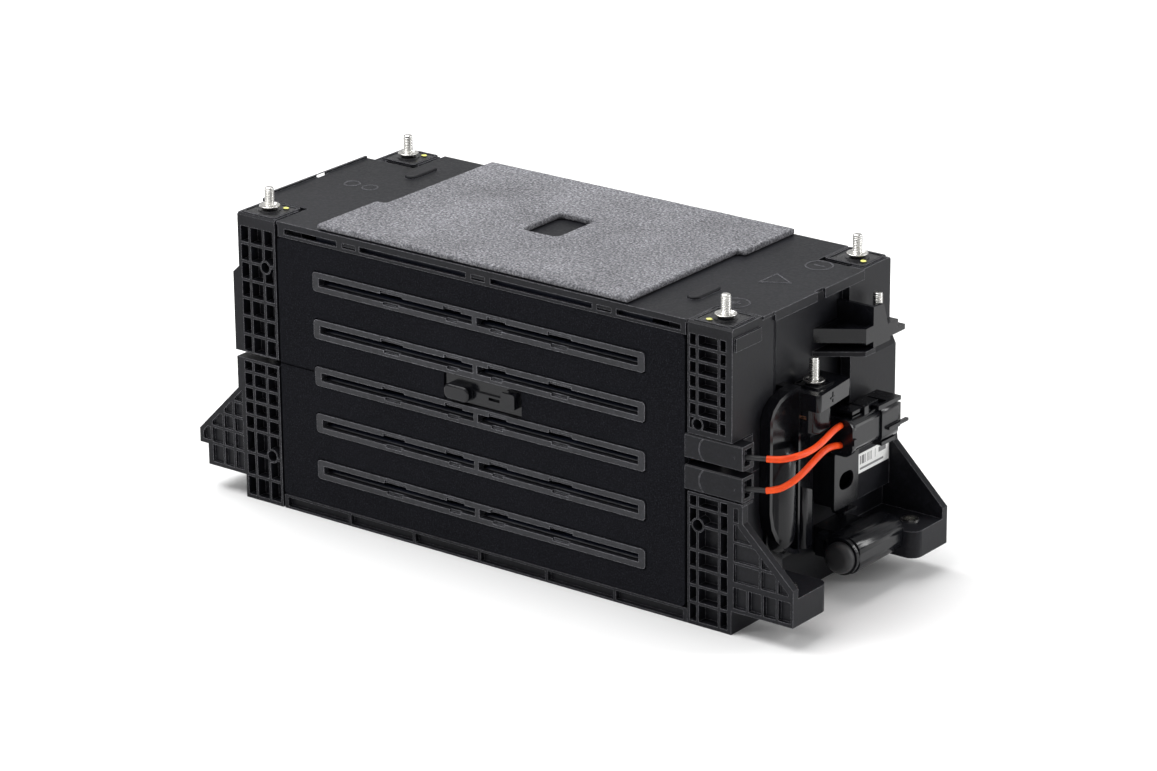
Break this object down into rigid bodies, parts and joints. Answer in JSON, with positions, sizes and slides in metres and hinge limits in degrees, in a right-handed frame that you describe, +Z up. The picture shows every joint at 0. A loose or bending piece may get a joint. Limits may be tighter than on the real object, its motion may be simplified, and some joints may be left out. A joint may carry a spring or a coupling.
{
  "type": "air-cooled prismatic cell battery module",
  "caption": "Air-cooled battery module: flat prismatic cells stacked in a ribbed plastic housing with slotted mats, corner studs, bolt-down feet and two end terminals.",
  "frame": {"origin": "centre of the underside of the housing, between the end columns", "axes": "+X along the module towards the terminal end, -Y the front with the lead housings, +Z up"},
  "size_m": [0.4385, 0.1633, 0.1962],
  "materials": {
    "housing_plastic": "satin, finely textured",
    "spacer_plastic": "satin, grained",
    "sealing_mat": "very matte foam skin",
    "foam": "grainy matte foam",
    "cell_can": "dark blue film over the aluminium can",
    "bright_aluminium": "bright",
    "bar_copper": "nickel-free copper, satin",
    "zinc_steel": "bright zinc",
    "coated_steel": "black coated",
    "plate_plastic": "semi-gloss",
    "connector_plastic": "satin",
    "orange_jacket": "soft satin",
    "black_rubber": "satin",
    "label_paper": "matte, printed with plain bars",
    "circuit_board": "solder mask"
  },
  "bodies": {
    "module": {"base_tray": "housing_plastic", "busbars_left": "bar_copper", "busbars_right": "bar_copper", "cell_left_1": "cell_can", "cell_left_2": "cell_can", "cell_left_3": "cell_can", "cell_left_4": "cell_can", "cell_left_5": "cell_can", "cell_left_6": "cell_can", "cell_right_1": "cell_can", "cell_right_2": "cell_can", "cell_right_3": "cell_can", "cell_right_4": "cell_can", "cell_right_5": "cell_can", "cell_right_6": "cell_can", "cell_terminals": "bright_aluminium", "cell_vents": "bright_aluminium", "channel_spacer_1": "spacer_plastic", "channel_spacer_2": "spacer_plastic", "channel_spacer_3": "spacer_plastic", "channel_spacer_4": "spacer_plastic", "channel_spacer_5": "spacer_plastic", "connector_bracket": "housing_plastic", "connector_header": "connector_plastic", "corner_plates": "plate_plastic", "cup_washers": "zinc_steel", "data_label": "label_paper", "foot_bushes": "zinc_steel", "front_gasket": "sealing_mat", "harness_clip": "housing_plastic", "lead_connector": "connector_plastic", "lead_sleeves": "black_rubber", "lower_compression_plates": "coated_steel", "lower_crossover_bar": "bar_copper", "lower_lead": "orange_jacket", "lower_lead_housing": "housing_plastic", "lower_left_end_frame": "housing_plastic", "lower_right_end_frame": "housing_plastic", "monitor_board": "circuit_board", "negative_link_bar": "bar_copper", "negative_terminal_guard": "housing_plastic", "negative_terminal_stud": "zinc_steel", "positive_riser_bar": "bar_copper", "positive_terminal_block": "housing_plastic", "positive_terminal_stud": "zinc_steel", "rear_gasket": "sealing_mat", "riser_cover": "housing_plastic", "tie_rods": "zinc_steel", "upper_compression_plates": "coated_steel", "upper_crossover_bar": "bar_copper", "upper_lead": "orange_jacket", "upper_lead_housing": "housing_plastic", "upper_left_end_frame": "housing_plastic", "upper_right_end_frame": "housing_plastic", "vent_manifold": "housing_plastic"},
    "cover": {"top_cover": "housing_plastic", "foam_pad": "foam"},
    "cap": {"vent_cap": "black_rubber"},
    "latch": {"connector_latch": "connector_plastic"}
  },
  "joints": [
    {"name": "cover_lift", "type": "slide", "parent": "module", "child": "cover", "axis": [0, 0, 1], "range_m": [0, 0.06]},
    {"name": "vent_cap_pull", "type": "slide", "parent": "module", "child": "cap", "axis": [0, -1, 0], "range_m": [0, 0.012]},
    {"name": "latch_press", "type": "hinge", "parent": "module", "child": "latch", "pos_m": [0.195, 0.024, 0.1094], "axis": [1, 0, 0], "range_deg": [0, 5], "stiffness_Nm_per_rad": 0.03, "springref_deg": -5.73}
  ]
}
